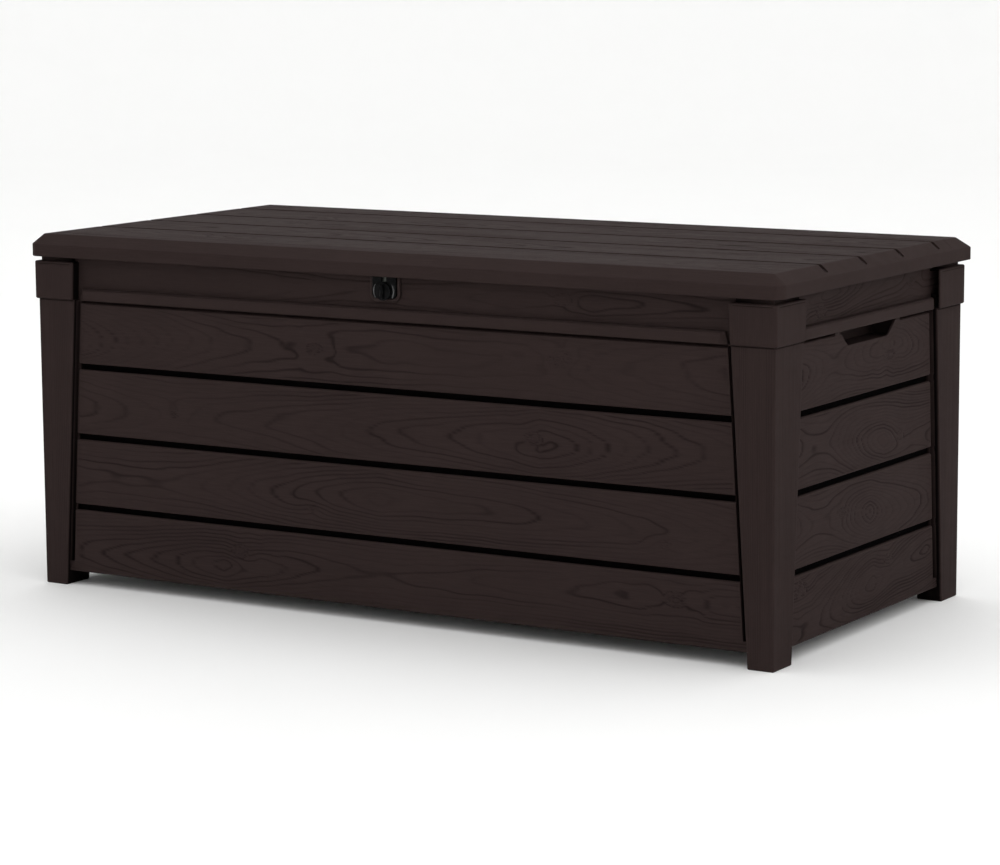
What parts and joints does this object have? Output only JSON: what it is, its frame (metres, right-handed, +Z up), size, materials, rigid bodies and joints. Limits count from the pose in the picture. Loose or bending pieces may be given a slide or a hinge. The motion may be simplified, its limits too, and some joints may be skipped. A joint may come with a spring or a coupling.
{
  "type": "deck storage box",
  "caption": "Long garden deck storage box with plank-look resin walls on tapered corner legs, a hinged planked lid on gas struts and a turn latch.",
  "frame": {"origin": "on the ground under the middle of the closed box", "axes": "+X along the length to the right, +Z up, -Y towards the front with the latch"},
  "size_m": [1.44, 0.704, 0.608],
  "materials": {
    "brown_resin": "semi-matte moulded resin with an embossed wood grain",
    "inner_resin": "semi-matte moulded resin, plain",
    "black_plastic": "gloss",
    "painted_steel": "black powder coat",
    "zinc_steel": "bright zinc plate",
    "polished_rod": "polished",
    "rubber": "matte"
  },
  "bodies": {
    "box": {"back_wall": "brown_resin", "floor_left": "inner_resin", "floor_right": "inner_resin", "front_wall": "brown_resin", "handle_cup_left": "inner_resin", "handle_cup_right": "inner_resin", "hinge_leaf_wall_centre": "zinc_steel", "hinge_leaf_wall_left": "zinc_steel", "hinge_leaf_wall_right": "zinc_steel", "hinge_pin_centre": "zinc_steel", "hinge_pin_left": "zinc_steel", "hinge_pin_right": "zinc_steel", "hinge_screws_wall": "zinc_steel", "latch_bezel": "brown_resin", "latch_housing": "black_plastic", "left_wall": "brown_resin", "leg_back_left": "brown_resin", "leg_back_right": "brown_resin", "leg_cap_back_left": "brown_resin", "leg_cap_back_right": "brown_resin", "leg_cap_front_left": "brown_resin", "leg_cap_front_right": "brown_resin", "leg_front_left": "brown_resin", "leg_front_right": "brown_resin", "leg_screws": "zinc_steel", "right_wall": "brown_resin", "strut_screws_wall": "zinc_steel", "strut_wall_bracket_left": "painted_steel", "strut_wall_bracket_right": "painted_steel"},
    "lid": {"hasp_screws": "zinc_steel", "hinge_leaf_lid_centre": "zinc_steel", "hinge_leaf_lid_left": "zinc_steel", "hinge_leaf_lid_right": "zinc_steel", "hinge_screws_lid": "zinc_steel", "lid_bumpers": "rubber", "lid_hasp": "zinc_steel", "lid_liner": "inner_resin", "lid_shell": "brown_resin", "lid_stiffener_back": "zinc_steel", "lid_stiffener_front": "zinc_steel", "strut_lid_bracket_left": "painted_steel", "strut_lid_bracket_right": "painted_steel", "strut_screws_lid": "zinc_steel"},
    "latch_knob": {"latch_clip": "zinc_steel", "latch_knob": "black_plastic"},
    "strut_cylinder_left": {"strut_cylinder_left": "painted_steel"},
    "strut_rod_left": {"strut_rod_left": "polished_rod"},
    "strut_cylinder_right": {"strut_cylinder_right": "painted_steel"},
    "strut_rod_right": {"strut_rod_right": "polished_rod"}
  },
  "joints": [
    {"name": "lid_hinge", "type": "hinge", "parent": "box", "child": "lid", "pos_m": [0, 0.341, 0.56], "axis": [-1, 0, 0], "range_deg": [0, 75]},
    {"name": "latch_turn", "type": "hinge", "parent": "box", "child": "latch_knob", "pos_m": [0, -0.334, 0.545], "axis": [0, -1, 0], "range_deg": [0, 90]},
    {"name": "strut_cylinder_swing_left", "type": "hinge", "parent": "box", "child": "strut_cylinder_left", "pos_m": [-0.664, 0.30218, 0.41511], "axis": [-1, 0, 0], "range_deg": [-1, 38.5]},
    {"name": "strut_rod_swing_left", "type": "hinge", "parent": "lid", "child": "strut_rod_left", "pos_m": [-0.664, 0.191, 0.56], "axis": [-1, 0, 0], "range_deg": [-38.5, 1]},
    {"name": "strut_cylinder_swing_right", "type": "hinge", "parent": "box", "child": "strut_cylinder_right", "pos_m": [0.664, 0.30218, 0.41511], "axis": [-1, 0, 0], "range_deg": [-1, 38.5]},
    {"name": "strut_rod_swing_right", "type": "hinge", "parent": "lid", "child": "strut_rod_right", "pos_m": [0.664, 0.191, 0.56], "axis": [-1, 0, 0], "range_deg": [-38.5, 1]}
  ],
  "couplings": [
    {"joint": "strut_cylinder_swing_left", "follows": "lid_hinge", "ratio": 0.5},
    {"joint": "strut_rod_swing_left", "follows": "lid_hinge", "ratio": -0.5},
    {"joint": "strut_cylinder_swing_right", "follows": "lid_hinge", "ratio": 0.5},
    {"joint": "strut_rod_swing_right", "follows": "lid_hinge", "ratio": -0.5}
  ]
}
